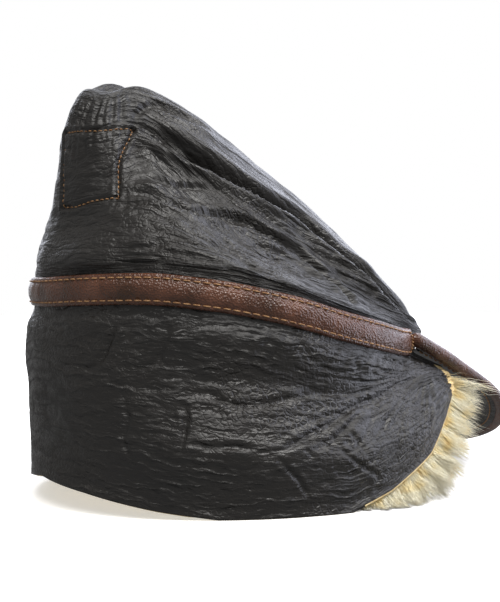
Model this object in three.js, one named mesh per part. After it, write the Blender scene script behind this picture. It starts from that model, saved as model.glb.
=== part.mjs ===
// A winter flying cap of sheepskin, standing empty on the hem of its ear flaps.
// Millimetres, +Z up, +X towards the visor, -Y the near side of the head.
// Bearings are degrees round the head from the centre of the back, the near side first.
import * as THREE from "three";

// Half lengths of the oval that the leather band follows round the head
const HEAD_BACK = 114.5;
const HEAD_FRONT = 126;
const HEAD_SIDE = 103;

const LEATHER = 2.2;
const FLEECE = 11;
const LOCK_DEPTH = 2.5;
const GAP = 0.4;
const SEAM_INSET = 1.4;

const BAND_HALF_WIDTH = 8;
const BAND_RISE = 3.6;
const BAND_END = 126;

const FLAP_END = 137.5;
const FLAT_HEM_FROM = 58;
const FLAT_HEM_TO = 93;
const FLEECE_LIFT = 1.2;

const VISOR_SKIN = 2.2;
const VISOR_PLATE_FROM = 0.085;
const VISOR_PLATE_CLEAR = 4.4;
const BINDING_RADIUS = 3.4;

// The far ridge of the dented crown stands higher than the near one
const FAR_RIDGE_RISE = 8;
const FAR_RIDGE_BEARING = -38;
const FAR_RIDGE_SPREAD = 26;

// The fleece of the crown is measured towards this point inside the head
const HEAD_CENTRE = { x: 0, y: 0, z: 104 };

// Height of the seam under the band
const SEAM = [
  { bearing: 0, z: 113.8 },
  { bearing: 20, z: 114.6 },
  { bearing: 41, z: 114.8 },
  { bearing: 52, z: 112.8 },
  { bearing: 63, z: 109.8 },
  { bearing: 80, z: 102.9 },
  { bearing: 96, z: 94.8 },
  { bearing: 118, z: 86.4 },
  { bearing: 128, z: 84.6 },
  { bearing: 150, z: 77 },
  { bearing: 180, z: 70 },
];

// The crown's wall from above the band to the ridge: four points on each bearing
const CROWN = [
  { bearing: 0, wall: [-107.5, 0, 152], crease: [-104.5, 0, 178], roll: [-100, 0, 209], ridge: [-89, 0, 226] },
  { bearing: 20, wall: [-98, -31, 153], crease: [-94, -25, 181], roll: [-92, -19, 209], ridge: [-80, -13, 224] },
  { bearing: 41, wall: [-81, -54, 155], crease: [-69, -34, 188], roll: [-68, -25, 211], ridge: [-61, -15, 229] },
  { bearing: 52, wall: [-64, -70, 145], crease: [-50, -50, 166], roll: [-45, -41, 192], ridge: [-33, -25, 212.5] },
  { bearing: 63, wall: [-44, -83, 132], crease: [-31, -67, 144], roll: [-21, -55, 170], ridge: [-6, -32, 192.5] },
  { bearing: 80, wall: [-14, -92, 121], crease: [-1, -77, 129], roll: [11, -64, 149], ridge: [26, -42, 168] },
  { bearing: 96, wall: [19, -94, 109.5], crease: [29, -83, 116], roll: [39, -74, 129], ridge: [51, -56, 142.5] },
  { bearing: 118, wall: [61, -87, 98.5], crease: [66, -84, 101], roll: [71, -81, 105], ridge: [76, -75, 108] },
  { bearing: 128, wall: [79, -79, 91.5], crease: [80.5, -78, 94], roll: [82, -77, 97], ridge: [81, -73, 100] },
  { bearing: 150, wall: [104, -48, 84], crease: [102, -47, 87], roll: [99, -46, 90], ridge: [96, -44, 93] },
  { bearing: 180, wall: [120, 0, 78], crease: [118, 0, 81], roll: [115, 0, 84], ridge: [111, 0, 87] },
];
const ROOF_LOW = [0, 0, 160];
const ROOF_SAG = 5;
const CROWN_CLEAR = 8.5;
const CROWN_PILLOW = 0;
const PILLOW_UP = 15;
const PILLOW_SHARE = 0.7;

// The flaps: hem height and swell outward from the oval, from the top edge down
const FLAP = [
  { bearing: 0, hem: 15.5, edge: 0, under: 2.5, upper: 3.5, lower: 3, foot: 2 },
  { bearing: 20, hem: 10.9, edge: 0, under: 2, upper: 3, lower: 2.5, foot: 0.5 },
  { bearing: 41, hem: 4.4, edge: 0, under: 1, upper: 0, lower: 3, foot: -1.5 },
  { bearing: 58, hem: 0, edge: 0, under: 1, upper: -3, lower: 5, foot: -2 },
  { bearing: 80, hem: 0, edge: 0, under: 1, upper: -4, lower: 8, foot: 3 },
  { bearing: 93, hem: 0, edge: 0, under: 1, upper: -3, lower: 10.5, foot: 8 },
  { bearing: 104, hem: 8, edge: 0, under: 1, upper: -1, lower: 13, foot: 12 },
  { bearing: 118, hem: 24, edge: 0, under: 0.6, upper: 5, lower: 17, foot: 18 },
  { bearing: 128, hem: 42, edge: 1, under: 5.6, upper: 13, lower: 20, foot: 20 },
  { bearing: 137.5, hem: 60, edge: 20, under: 22, upper: 23, lower: 24, foot: 24 },
  { bearing: 148, hem: 46, edge: 42, under: 42, upper: 42, lower: 42, foot: 40 },
];
const FLAP_STEPS = { edge: 0, clear: 0.09, under: 0.17, upper: 0.36, lower: 0.7, foot: 1 };

// Drop of the flap's free top edge below the seam, and reach of the fleece past the hem
const FREE_EDGE = [
  { bearing: 0, drop: 0, fringe: 0 },
  { bearing: 93, drop: 0, fringe: 0 },
  { bearing: 104, drop: 0, fringe: 6 },
  { bearing: 118, drop: 0, fringe: 21 },
  { bearing: 128, drop: 7, fringe: 23 },
  { bearing: 137.5, drop: 18, fringe: 24 },
  { bearing: 148, drop: 27, fringe: 12 },
];

// The visor's free edge, from the near temple to the middle of the front
const VISOR_EDGE = [
  [84, -81.5, 86],
  [112, -85, 70.5],
  [150, -82, 50],
  [176, -60, 30],
  [188, -30, 18],
  [192, 0, 13],
];
const VISOR_ROOT_BEARINGS = [130, 140, 150, 160, 170, 180];
const VISOR_ARCH = 3;
const VISOR_ROOT_GROW = -0.9;

const rad = THREE.MathUtils.degToRad;
const vector = ([x, y, z]) => new THREE.Vector3(x, y, z);

// Point of the oval at a bearing, grown outward by a distance
function oval(bearing, grow, z) {
  const along = Math.cos(rad(bearing));
  const length = along >= 0 ? HEAD_BACK : HEAD_FRONT;
  return new THREE.Vector3(-(length + grow) * along, -(HEAD_SIDE + grow) * Math.sin(rad(bearing)), z);
}

// Smooth value from a table of bearings, mirrored past both ends of the table
function smooth(rows, bearing, pick, odd = false) {
  const sign = odd ? -1 : 1;
  const knots = rows.map((row) => [row.bearing, pick(row)]);
  const last = rows.length - 1;
  const ends = Math.abs(rows[last].bearing - 180) < 1;
  const before = rows.slice(1, 3).map((row) => [-row.bearing, sign * pick(row)]).reverse();
  const after = ends ? rows.slice(last - 2, last).map((row) => [360 - row.bearing, sign * pick(row)]).reverse() : [];
  const all = [...before, ...knots, ...after];
  let i = 0;
  while (i < all.length - 2 && all[i + 1][0] <= bearing) {
    i += 1;
  }
  const slope = (k) => {
    const a = all[Math.max(k - 1, 0)];
    const b = all[Math.min(k + 1, all.length - 1)];
    return (b[1] - a[1]) / (b[0] - a[0]);
  };
  const span = all[i + 1][0] - all[i][0];
  const t = THREE.MathUtils.clamp((bearing - all[i][0]) / span, 0, 1);
  const rise = t * t * (3 - 2 * t);
  const lead = t * (1 - t) * (1 - t) * span * slope(i);
  const trail = t * t * (t - 1) * span * slope(i + 1);
  return all[i][1] + (all[i + 1][1] - all[i][1]) * rise + lead + trail;
}

// Straight-line value from a table of bearings
function straight(rows, bearing, pick) {
  let i = 0;
  while (i < rows.length - 2 && rows[i + 1].bearing <= bearing) {
    i += 1;
  }
  const t = (bearing - rows[i].bearing) / (rows[i + 1].bearing - rows[i].bearing);
  return THREE.MathUtils.lerp(pick(rows[i]), pick(rows[i + 1]), THREE.MathUtils.clamp(t, 0, 1));
}

const seamHeight = (bearing) => smooth(SEAM, Math.abs(bearing), (row) => row.z);

// Section of the crown at a bearing: from the seam up the wall, over the ridge, down to the roof's middle
function crownSection(bearing) {
  const side = Math.abs(bearing);
  const mirror = bearing < 0 ? -1 : 1;
  const seam = seamHeight(side) + GAP;
  const taper = 1 - THREE.MathUtils.smoothstep(side, 100, 128);
  const far = Math.exp(-(((bearing - FAR_RIDGE_BEARING) / FAR_RIDGE_SPREAD) ** 2)) * FAR_RIDGE_RISE;
  const point = (name, lift) => {
    const x = smooth(CROWN, side, (row) => row[name][0]);
    const y = smooth(CROWN, side, (row) => row[name][1], true);
    const z = smooth(CROWN, side, (row) => row[name][2]);
    return new THREE.Vector3(x, y * mirror, z + lift * far);
  };
  const ridge = point("ridge", 1);
  const low = vector(ROOF_LOW);
  const roof = ridge.clone().lerp(low, 0.5);
  roof.z -= ROOF_SAG * taper;
  const pillow = Math.min(PILLOW_UP, PILLOW_SHARE * (point("wall", 0).z - seam));
  const clear = Math.min(CROWN_CLEAR, PILLOW_SHARE * pillow);
  return new THREE.CatmullRomCurve3([
    oval(bearing, -SEAM_INSET, seam),
    oval(bearing, -SEAM_INSET - 0.2, seam + clear),
    oval(bearing, THREE.MathUtils.lerp(-2.5, CROWN_PILLOW, taper), seam + pillow),
    point("wall", 0),
    point("crease", 0.2),
    point("roll", 0.6),
    ridge,
    roof,
    low,
  ], false, "centripetal");
}

// Normals of a grid of points, one row for each height and one column for each bearing
function gridNormals(rows, wrap) {
  const columns = rows[0].length;
  return rows.map((row, v) => row.map((_, u) => {
    const right = wrap ? (u + 1) % columns : Math.min(u + 1, columns - 1);
    const left = wrap ? (u + columns - 1) % columns : Math.max(u - 1, 0);
    const up = rows[Math.min(v + 1, rows.length - 1)][u];
    const down = rows[Math.max(v - 1, 0)][u];
    const across = row[right].clone().sub(row[left]);
    return across.cross(up.clone().sub(down)).normalize();
  }));
}

function offsetGrid(rows, normals, distance) {
  return rows.map((row, v) => row.map((p, u) => p.clone().addScaledVector(normals[v][u], distance)));
}

// Closed solid between two grids; a wrapped grid is a ring, a pole closes its last row to a point
function solidBetween(outer, inner, { wrap = false, pole = false } = {}) {
  const positions = [];
  const index = [];
  const number = (grid) => grid.map((row, v) => {
    if (pole && v === grid.length - 1) {
      positions.push(...row[0].toArray());
      const only = positions.length / 3 - 1;
      return row.map(() => only);
    }
    return row.map((p) => {
      positions.push(...p.toArray());
      return positions.length / 3 - 1;
    });
  });
  const face = (a, b, c) => {
    if (a !== b && b !== c && a !== c) {
      index.push(a, b, c);
    }
  };
  const quad = (a, b, c, d) => {
    face(a, b, c);
    face(a, c, d);
  };
  const skin = number(outer);
  const back = number(inner);
  const columns = outer[0].length;
  const steps = wrap ? columns : columns - 1;
  for (let v = 0; v < outer.length - 1; v += 1) {
    for (let u = 0; u < steps; u += 1) {
      const w = (u + 1) % columns;
      quad(skin[v][u], skin[v][w], skin[v + 1][w], skin[v + 1][u]);
      quad(back[v][u], back[v + 1][u], back[v + 1][w], back[v][w]);
    }
  }
  const top = outer.length - 1;
  for (let u = 0; u < steps; u += 1) {
    const w = (u + 1) % columns;
    quad(skin[0][w], skin[0][u], back[0][u], back[0][w]);
    if (!pole) {
      quad(skin[top][u], skin[top][w], back[top][w], back[top][u]);
    }
  }
  if (!wrap) {
    for (let v = 0; v < top; v += 1) {
      quad(skin[v][0], skin[v + 1][0], back[v + 1][0], back[v][0]);
      quad(skin[v + 1][columns - 1], skin[v][columns - 1], back[v][columns - 1], back[v + 1][columns - 1]);
    }
  }
  const geometry = new THREE.BufferGeometry();
  geometry.setAttribute("position", new THREE.Float32BufferAttribute(positions, 3));
  geometry.setIndex(outwards(positions, index));
  geometry.computeVertexNormals();
  return geometry;
}

// The same triangles, turned over if they enclose a negative volume
function outwards(positions, index) {
  const at = (i) => new THREE.Vector3(positions[3 * i], positions[3 * i + 1], positions[3 * i + 2]);
  let volume = 0;
  for (let i = 0; i < index.length; i += 3) {
    volume += at(index[i]).dot(at(index[i + 1]).cross(at(index[i + 2])));
  }
  if (volume > 0) {
    return index;
  }
  const turned = [];
  for (let i = 0; i < index.length; i += 3) {
    turned.push(index[i], index[i + 2], index[i + 1]);
  }
  return turned;
}

const range = (count) => Array.from({ length: count }, (_, i) => i);

const cap = new THREE.Group();

function add(name, geometry, colour, roughness) {
  const material = new THREE.MeshStandardMaterial({ color: colour, roughness, metalness: 0 });
  const mesh = new THREE.Mesh(geometry, material);
  mesh.name = name;
  cap.add(mesh);
}

const DARK_LEATHER = 0x2a2624;
const BROWN_LEATHER = 0x5d3a28;
const CREAM_FLEECE = 0xe2cf9e;

// Crown: a leather shell with a valley between two ridges, and the fleece inside it
const CROWN_COLUMNS = 60;
const CROWN_ROWS = [0, 1, 2, 3, 4, 5, 6, 6.5, 7, 7.5, 8].map((step) => step / 8);
const crownSections = range(CROWN_COLUMNS).map((i) => crownSection(-180 + (360 * (i + 0.5)) / CROWN_COLUMNS));
const crownFace = CROWN_ROWS.map((t) => crownSections.map((section) => section.getPoint(t)));
const crownNormals = gridNormals(crownFace, true);
const outward = Math.sign(crownNormals[3][0].dot(crownFace[3][0].clone().sub(vector([0, 0, 100]))));
const poleRow = crownFace.length - 1;
crownNormals[poleRow].forEach((normal) => normal.set(0, 0, outward));
[0, 1].forEach((v) => crownNormals[v].forEach((normal) => normal.setZ(0).normalize()));

function crownSkin(depth, lift) {
  const grid = offsetGrid(crownFace, crownNormals, -outward * depth);
  grid[0].forEach((p, u) => {
    p.z = crownFace[0][u].z + lift;
  });
  return grid;
}

add("crown", solidBetween(crownSkin(0, 0), crownSkin(LEATHER, 0), { wrap: true, pole: true }), DARK_LEATHER, 0.5);

const fleeceFace = crownSkin(LEATHER + GAP, 0);
const centre = new THREE.Vector3(HEAD_CENTRE.x, HEAD_CENTRE.y, HEAD_CENTRE.z);
const crownPile = fleeceFace.map((row, v) => row.map((p, u) => {
  const inward = centre.clone().sub(p);
  const reach = inward.length();
  const lock = LOCK_DEPTH * Math.cos(u * 2.1 + v * 0.8) * (v < 6 ? 1 : 0);
  const spread = v > 4 ? 5 : 0;
  const moved = p.clone().addScaledVector(inward, (FLEECE + spread + lock) / reach);
  moved.z = Math.max(moved.z, fleeceFace[0][u].z);
  return moved;
}));
crownPile[0].forEach((p, u) => {
  p.z = fleeceFace[0][u].z;
});
add("crown_fleece", solidBetween(fleeceFace, crownPile, { wrap: true, pole: true }), CREAM_FLEECE, 0.95);

// Flaps: one hide from temple to temple round the back, and its fleece, which shows past the front edges
const flapRow = (bearing) => {
  const pick = (name) => smooth(FLAP, bearing, (row) => row[name]);
  const knots = Object.entries(FLAP_STEPS).map(([name, at]) => ({
    bearing: at,
    value: name === "edge" || name === "clear" ? pick("edge") - SEAM_INSET : pick(name),
  }));
  return (share) => straight(knots, share, (knot) => knot.value);
};

function flapHem(bearing) {
  if (bearing > FLAT_HEM_FROM - 0.01 && bearing < FLAT_HEM_TO + 0.01) {
    return 0;
  }
  return straight(FLAP, bearing, (row) => row.hem);
}

const FLAP_SHARES = [0, 0.09, 0.17, 0.27, 0.36, 0.53, 0.7, 0.86, 1];
const FLAP_COLUMNS = 56;
const COLUMN_STEP = (2 * FLAP_END) / FLAP_COLUMNS;
const FRINGE_COLUMNS = 2;
const leatherBearings = range(FLAP_COLUMNS + 1).map((i) => -FLAP_END + COLUMN_STEP * i);
const fleeceEnd = FLAP_END + FRINGE_COLUMNS * COLUMN_STEP;
const fleeceBearings = range(FLAP_COLUMNS + 2 * FRINGE_COLUMNS + 1).map((i) => -fleeceEnd + COLUMN_STEP * i);

// Point of the flap's leather face, some depth below that face
function flapPoint(bearing, share, depth) {
  const side = Math.abs(bearing);
  const top = seamHeight(side) - GAP - straight(FREE_EDGE, side, (row) => row.drop);
  const z = THREE.MathUtils.lerp(top, Math.min(flapHem(side), top - 3), share);
  return oval(bearing, flapRow(side)(share) - depth, z);
}

const flapFace = (bearings, depth) => FLAP_SHARES.map((share) => bearings.map((at) => flapPoint(at, share, depth)));
add("ear_flaps", solidBetween(flapFace(leatherBearings, 0), flapFace(leatherBearings, LEATHER)), DARK_LEATHER, 0.5);

// The fleece follows the leather, clears the hem by a little and reaches past it at the front
function fleeceGrid(depth) {
  const rows = FLAP_SHARES.map((share) => fleeceBearings.map((at, i) => flapPoint(at, share, depth(i, share))));
  const last = rows.length - 1;
  const lift = rows[last].map((p, i) => Math.min(FLEECE_LIFT, 0.05 * (rows[0][i].z - p.z)));
  rows[last].forEach((p, i) => {
    p.z += 2 * lift[i];
  });
  const fringe = rows[last].map((p, i) => {
    const reach = straight(FREE_EDGE, Math.abs(fleeceBearings[i]), (row) => row.fringe);
    return p.clone().setZ(Math.max(p.z - lift[i] - reach, FLEECE_LIFT));
  });
  return [...rows, fringe];
}

const pileDepth = (i, share) => LEATHER + GAP + FLEECE + LOCK_DEPTH * Math.cos(i * 2.3 + share * 9);
add("flap_fleece", solidBetween(fleeceGrid(() => LEATHER + GAP), fleeceGrid(pileDepth)), CREAM_FLEECE, 0.95);

// Band: a domed leather strip over the seam, from temple to temple round the back
const BAND_COLUMNS = 52;
const BAND_SEAT = 0.9;
const bandSection = [
  { out: -SEAM_INSET + BAND_SEAT, up: -0.95 },
  { out: -SEAM_INSET + BAND_SEAT, up: 0.95 },
  { out: 0.3, up: 1 },
  { out: 0.75, up: 0.6 },
  { out: 1, up: 0 },
  { out: 0.75, up: -0.6 },
  { out: 0.3, up: -1 },
];
const bandColumn = (bearing) => bandSection.map(({ out, up }) => {
  const grow = out < 0 ? out : out * BAND_RISE - SEAM_INSET;
  return oval(bearing, grow, seamHeight(Math.abs(bearing)) + up * BAND_HALF_WIDTH);
});

// Closed solid along a row of equal closed sections
function solidAlong(sections) {
  const middle = (points) => points.reduce((sum, p) => sum.add(p), new THREE.Vector3()).divideScalar(points.length);
  const ends = [sections[0], sections[sections.length - 1]].map(middle);
  const shrunk = (end, section) => section.map(() => end.clone());
  const rows = [shrunk(ends[0], sections[0]), ...sections, shrunk(ends[1], sections[0])];
  const positions = [ends[0].toArray(), ...sections.flat().map((p) => p.toArray()), ends[1].toArray()].flat();
  const sides = sections[0].length;
  const at = (v, u) => {
    if (v === 0) {
      return 0;
    }
    return v === rows.length - 1 ? positions.length / 3 - 1 : 1 + (v - 1) * sides + (u % sides);
  };
  const index = [];
  for (let v = 0; v < rows.length - 1; v += 1) {
    for (let u = 0; u < sides; u += 1) {
      if (v > 0) {
        index.push(at(v, u), at(v + 1, u + 1), at(v, u + 1));
      }
      if (v < rows.length - 2) {
        index.push(at(v, u), at(v + 1, u), at(v + 1, u + 1));
      }
    }
  }
  const geometry = new THREE.BufferGeometry();
  geometry.setAttribute("position", new THREE.Float32BufferAttribute(positions, 3));
  geometry.setIndex(outwards(positions, index));
  geometry.computeVertexNormals();
  return geometry;
}

const bandBearings = range(BAND_COLUMNS + 1).map((i) => -BAND_END + (2 * BAND_END * i) / BAND_COLUMNS);
add("band", solidAlong(bandBearings.map(bandColumn)), BROWN_LEATHER, 0.4);

// Visor: brown leather on top, dark leather below, and a rolled binding round the free edge
const VISOR_COLUMNS = 30;
const visorSteps = range(VISOR_COLUMNS + 1).map((i) => i / VISOR_COLUMNS);
const mirrored = (points) => [...points, ...points.slice(0, -1).reverse().map((p) => p.clone().setY(-p.y))];
const edgeCurve = new THREE.CatmullRomCurve3(mirrored(VISOR_EDGE.map(vector)), false, "centripetal");
const rootCurve = new THREE.CatmullRomCurve3(
  mirrored(VISOR_ROOT_BEARINGS.map((bearing) => oval(bearing, VISOR_ROOT_GROW, seamHeight(bearing) - 0.5))),
  false,
  "centripetal",
);
const VISOR_SHARES = [0, 0.25, 0.5, 0.75, 1];
const visorFace = VISOR_SHARES.map((share) => visorSteps.map((step) => {
  const t = THREE.MathUtils.lerp(VISOR_PLATE_FROM, 1 - VISOR_PLATE_FROM, step);
  const root = rootCurve.getPointAt(t);
  const edge = edgeCurve.getPointAt(t);
  const across = edge.clone().sub(root);
  const clear = across.length() / across.clone().cross(edgeCurve.getTangentAt(t)).length();
  const p = root.lerp(edge, share * (1 - (VISOR_PLATE_CLEAR * clear) / across.length()));
  p.z += VISOR_ARCH * Math.sin(Math.PI * share) * Math.sin(Math.PI * t);
  return p;
}));
const visorNormals = gridNormals(visorFace, false);
const upward = Math.sign(visorNormals[2][15].z);
const visorLayer = (height) => offsetGrid(visorFace, visorNormals, upward * height);
const half = GAP / 2;
add("visor_top", solidBetween(visorLayer(half + VISOR_SKIN), visorLayer(half)), BROWN_LEATHER, 0.45);
add("visor_underside", solidBetween(visorLayer(-half), visorLayer(-half - VISOR_SKIN)), DARK_LEATHER, 0.5);

const BINDING_SIDES = 8;
const bindingSection = (t) => {
  const middle = edgeCurve.getPointAt(t);
  const along = edgeCurve.getTangentAt(t);
  const out = along.clone().cross(new THREE.Vector3(0, 0, 1)).normalize();
  const over = out.clone().cross(along).normalize();
  return range(BINDING_SIDES).map((k) => {
    const turn = (2 * Math.PI * k) / BINDING_SIDES;
    return middle.clone()
      .addScaledVector(out, BINDING_RADIUS * Math.cos(turn))
      .addScaledVector(over, BINDING_RADIUS * Math.sin(turn));
  });
};
add("visor_binding", solidAlong(visorSteps.map(bindingSection)), BROWN_LEATHER, 0.4);

// The origin is the middle of the bounding box, on the surface that the cap stands on
const box = new THREE.Box3().setFromObject(cap);
const middle = box.getCenter(new THREE.Vector3());
cap.position.set(-middle.x, -middle.y, -box.min.z);

export default cap;
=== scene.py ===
# %% [markdown]
# # A sheepskin flying cap
# The cap stands empty on the hem of its ear flaps. One hide makes the crown and one the flaps,
# leather outside and wool inside. A brown leather strip covers the seam between them, and a
# soft brown visor hangs over the forehead.

import math

import bpy
import numpy as np
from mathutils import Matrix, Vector
from numpy.linalg import norm


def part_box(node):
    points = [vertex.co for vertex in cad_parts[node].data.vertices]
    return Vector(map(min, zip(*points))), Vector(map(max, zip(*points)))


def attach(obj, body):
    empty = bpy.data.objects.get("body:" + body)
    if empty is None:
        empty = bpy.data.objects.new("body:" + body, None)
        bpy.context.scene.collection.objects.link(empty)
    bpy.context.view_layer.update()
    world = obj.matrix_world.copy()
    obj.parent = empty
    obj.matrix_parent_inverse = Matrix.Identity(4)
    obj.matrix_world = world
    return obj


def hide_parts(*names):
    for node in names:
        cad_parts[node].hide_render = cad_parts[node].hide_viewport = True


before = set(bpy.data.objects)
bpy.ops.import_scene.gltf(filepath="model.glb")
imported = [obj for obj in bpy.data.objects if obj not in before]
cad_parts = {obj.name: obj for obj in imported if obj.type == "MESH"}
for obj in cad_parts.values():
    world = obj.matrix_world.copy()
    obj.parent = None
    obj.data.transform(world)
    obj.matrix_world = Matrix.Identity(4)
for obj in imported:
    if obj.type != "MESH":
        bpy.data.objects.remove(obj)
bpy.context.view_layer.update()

# %% [markdown]
# The cap is worked out in millimetres about the middle of the head, and Blender is in metres.
# The oval of the band is the one size that everything else hangs on, so it comes first.

# %% Sizes of the head and the seam
HEAD_BACK, HEAD_FRONT, HEAD_SIDE = 114.5, 126.0, 103.0
SEAM_INSET = 1.4
BAND_RISE = 3.6
BAND_HALF_WIDTH = 8.0
BAND_END = 126.0
LEATHER = 2.2
FLEECE = 11.0
HEAD_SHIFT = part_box("band")[0][0] * 1000 + HEAD_BACK + BAND_RISE - SEAM_INSET
print("the head's middle lies", round(HEAD_SHIFT, 2), "mm along X")


def metres(points):
    """Points in millimetres about the head, as metres in the frame of the solids."""
    return (np.asarray(points, float) + [HEAD_SHIFT, 0, 0]) / 1000


# %% [markdown]
# The camera is made early. It looks from behind and to the near side, level with the band,
# and so close that the far half of the cap is drawn smaller than the near half.

# %% Camera
IMAGE_WIDTH, SENSOR_WIDTH = 500, 36
CAMERA_TURN = math.radians(35)
CAMERA_HEIGHT = 109.0
CAMERA_DISTANCE = 580.0
CAMERA_ASIDE = 16.0
FOCAL_PIXELS = 958.0

across = np.array([math.cos(CAMERA_TURN), -math.sin(CAMERA_TURN), 0])
ahead = np.array([math.sin(CAMERA_TURN), math.cos(CAMERA_TURN), 0])
camera_data = bpy.data.cameras.new("camera")
camera_data.sensor_fit = "HORIZONTAL"
camera_data.sensor_width = SENSOR_WIDTH
camera_data.lens = FOCAL_PIXELS / IMAGE_WIDTH * SENSOR_WIDTH
camera = bpy.data.objects.new("camera", camera_data)
bpy.context.scene.collection.objects.link(camera)
camera.location = metres(across * CAMERA_ASIDE - ahead * CAMERA_DISTANCE + [0, 0, CAMERA_HEIGHT])
camera.rotation_mode = "QUATERNION"
camera.rotation_quaternion = Vector(ahead).to_track_quat("-Z", "Y")
bpy.context.scene.camera = camera
print("lens", round(camera_data.lens, 1), "mm")

# %% [markdown]
# Leather has no straight lines, so its forms come from short tables: a value at some bearings
# round the head, read off smoothly in between. Bearing 0 is the middle of the back, and the
# near side counts up to 180 at the forehead.

# %% Smooth tables
def hermite(x, y, slope, at):
    """A smooth curve through values y at x with those slopes, read at some places."""
    i = np.clip(np.searchsorted(x, at, side="right") - 1, 0, len(x) - 2)
    shape = np.shape(at) + (1,) * (y.ndim - 1)
    span = (x[i + 1] - x[i]).reshape(shape)
    t = np.clip((at - x[i]).reshape(shape) / span, 0, 1)
    lead = t * (1 - t) ** 2 * span * slope[i]
    trail = t * t * (t - 1) * span * slope[i + 1]
    return y[i] + (y[i + 1] - y[i]) * (t * t * (3 - 2 * t)) + lead + trail


def smooth(knots, values, at, odd=False):
    """A smooth curve through values at bearings knots, mirrored at the back and the front."""
    knots, values = np.asarray(knots, float), np.asarray(values, float)
    sign = -1.0 if odd else 1.0
    whole = knots[-1] > 179
    x = np.concatenate([-knots[2:0:-1], knots, (360 - knots[-2:-4:-1]) if whole else []])
    y = np.concatenate([sign * values[2:0:-1], values, (sign * values[-2:-4:-1]) if whole else []])
    slope = np.gradient(y, x)
    slope[1:-1] = (y[2:] - y[:-2]) / (x[2:] - x[:-2])
    return hermite(x, y, slope, at)


def hump(values, middle, spread):
    """A soft hump, 1 at its middle, that falls off over a spread to both sides."""
    return np.exp(-(((values - middle) / spread) ** 2))


def ramp(values, start, length):
    """0 before the start and 1 past the length. With a length below zero it falls instead."""
    return np.clip((values - start) / length, 0, 1)


def oval(bearing, grow):
    """X and Y of the head's oval at a bearing, grown outward."""
    angle = np.radians(bearing)
    length = np.where(np.cos(angle) >= 0, HEAD_BACK, HEAD_FRONT)
    return -(length + grow) * np.cos(angle), -(HEAD_SIDE + grow) * np.sin(angle)


SEAM_BEARING = [0, 20, 41, 52, 63, 80, 96, 118, 128, 150, 180]
SEAM_HEIGHT = [113.8, 114.6, 114.8, 112.8, 109.8, 102.9, 94.8, 86.4, 84.6, 77, 70]


def seam(bearing):
    return smooth(SEAM_BEARING, SEAM_HEIGHT, np.abs(bearing))


print("seam at the back", float(seam(0)), "mm, at the forehead", float(seam(180)), "mm")

# %% [markdown]
# Creased leather is neither smooth nor random: folds have a direction and a depth. A lattice
# of seeded random numbers, read smoothly, gives soft swelling, and the lines where it passes
# zero give creases.

# %% Swelling and creases
LATTICE = np.random.default_rng(7).uniform(-1, 1, (64, 64, 64))


def swell(points, size, seed=0):
    """Smooth random heights from -1 to 1, with lumps of about that size in millimetres."""
    p = np.asarray(points, float) / np.asarray(size, float) + seed * 7.31
    base = np.floor(p).astype(int)
    f = p - base
    f = f * f * f * (f * (6 * f - 15) + 10)
    total = 0.0
    for corner in np.ndindex(2, 2, 2):
        i = (base + corner) % 64
        weight = np.prod(np.where(np.array(corner) == 1, f, 1 - f), axis=-1)
        total = total + weight * LATTICE[i[..., 0], i[..., 1], i[..., 2]]
    return total


def creases(points, size, seed=0, sharp=6.0):
    """Narrow valleys, 0 to 1, along the lines where the swelling passes zero."""
    return np.exp(-sharp * np.abs(swell(points, size, seed)))


def normals_of(grid, wrap):
    """Unit normals of a grid of points, rows up and columns round."""
    if wrap:
        du = np.roll(grid, -1, 1) - np.roll(grid, 1, 1)
    else:
        du = np.gradient(grid, axis=1)
    n = np.cross(du, np.gradient(grid, axis=0))
    return n / np.maximum(norm(n, axis=-1, keepdims=True), 1e-9)


def unit(vectors):
    return vectors / norm(vectors, axis=-1, keepdims=True)


def walked(path, power=1.0):
    """How far along a path each of its points lies."""
    steps = norm(np.diff(path, axis=0), axis=1) ** power
    return np.concatenate([[0], np.cumsum(steps)])


def read_path(at, lengths, path):
    return np.stack([np.interp(at, lengths, path[:, k]) for k in range(3)], 1)


# %% [markdown]
# Every skin is a grid of points, so one function turns such a grid into a mesh. A second one
# lays a map of the hide's own width and length on it, so that a finish can follow the hide,
# and a third puts the piece in its place in the part.

# %% Meshes from grids
def make_mesh(name, points, faces):
    mesh = bpy.data.meshes.new(name)
    mesh.from_pydata(metres(points).tolist(), [], faces)
    mesh.polygons.foreach_set("use_smooth", [True] * len(mesh.polygons))
    mesh.update()
    obj = bpy.data.objects.new(name, mesh)
    bpy.context.scene.collection.objects.link(obj)
    return obj


def grid_faces(rows, columns, wrap, start=0):
    last = columns if wrap else columns - 1
    v, u = np.meshgrid(np.arange(rows - 1), np.arange(last), indexing="ij")
    w = (u + 1) % columns
    corners = [v * columns + u, v * columns + w, (v + 1) * columns + w, (v + 1) * columns + u]
    return (np.stack(corners, -1).reshape(-1, 4) + start).tolist()


def skin_from_grid(name, grid, wrap=False, flip=False, closed=False):
    rows, columns = grid.shape[:2]
    faces = grid_faces(rows, columns, wrap)
    if closed:
        last = (rows - 1) * columns
        faces.append([last + u for u in range(columns)])
    if flip:
        faces = [face[::-1] for face in faces]
    return make_mesh(name, grid.reshape(-1, 3), faces)


def hide_map(obj, along):
    """Lays a flat map of the hide on a mesh, from a pair of millimetres for each point."""
    layer = obj.data.uv_layers.new(name="hide")
    corners = np.empty(len(obj.data.loops), int)
    obj.data.loops.foreach_get("vertex_index", corners)
    layer.data.foreach_set("uv", (np.asarray(along, float)[corners] / 1000).ravel())


def settle(piece, finish, slot, *nodes):
    """The piece takes its finish, rides with the cap and stands for its solids. The slot is not
    used.
    """
    piece.data.materials.append(finish)
    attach(piece, "root")
    if nodes:
        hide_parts(*nodes)
    print(piece.name, len(piece.data.polygons), "faces")


# %% [markdown]
# ## Finishes
# A maker names a finish for what the thing is. Colours are sRGB hex values, turned to linear
# light by one function, and one function adds a node with its settings and its links.

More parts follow.
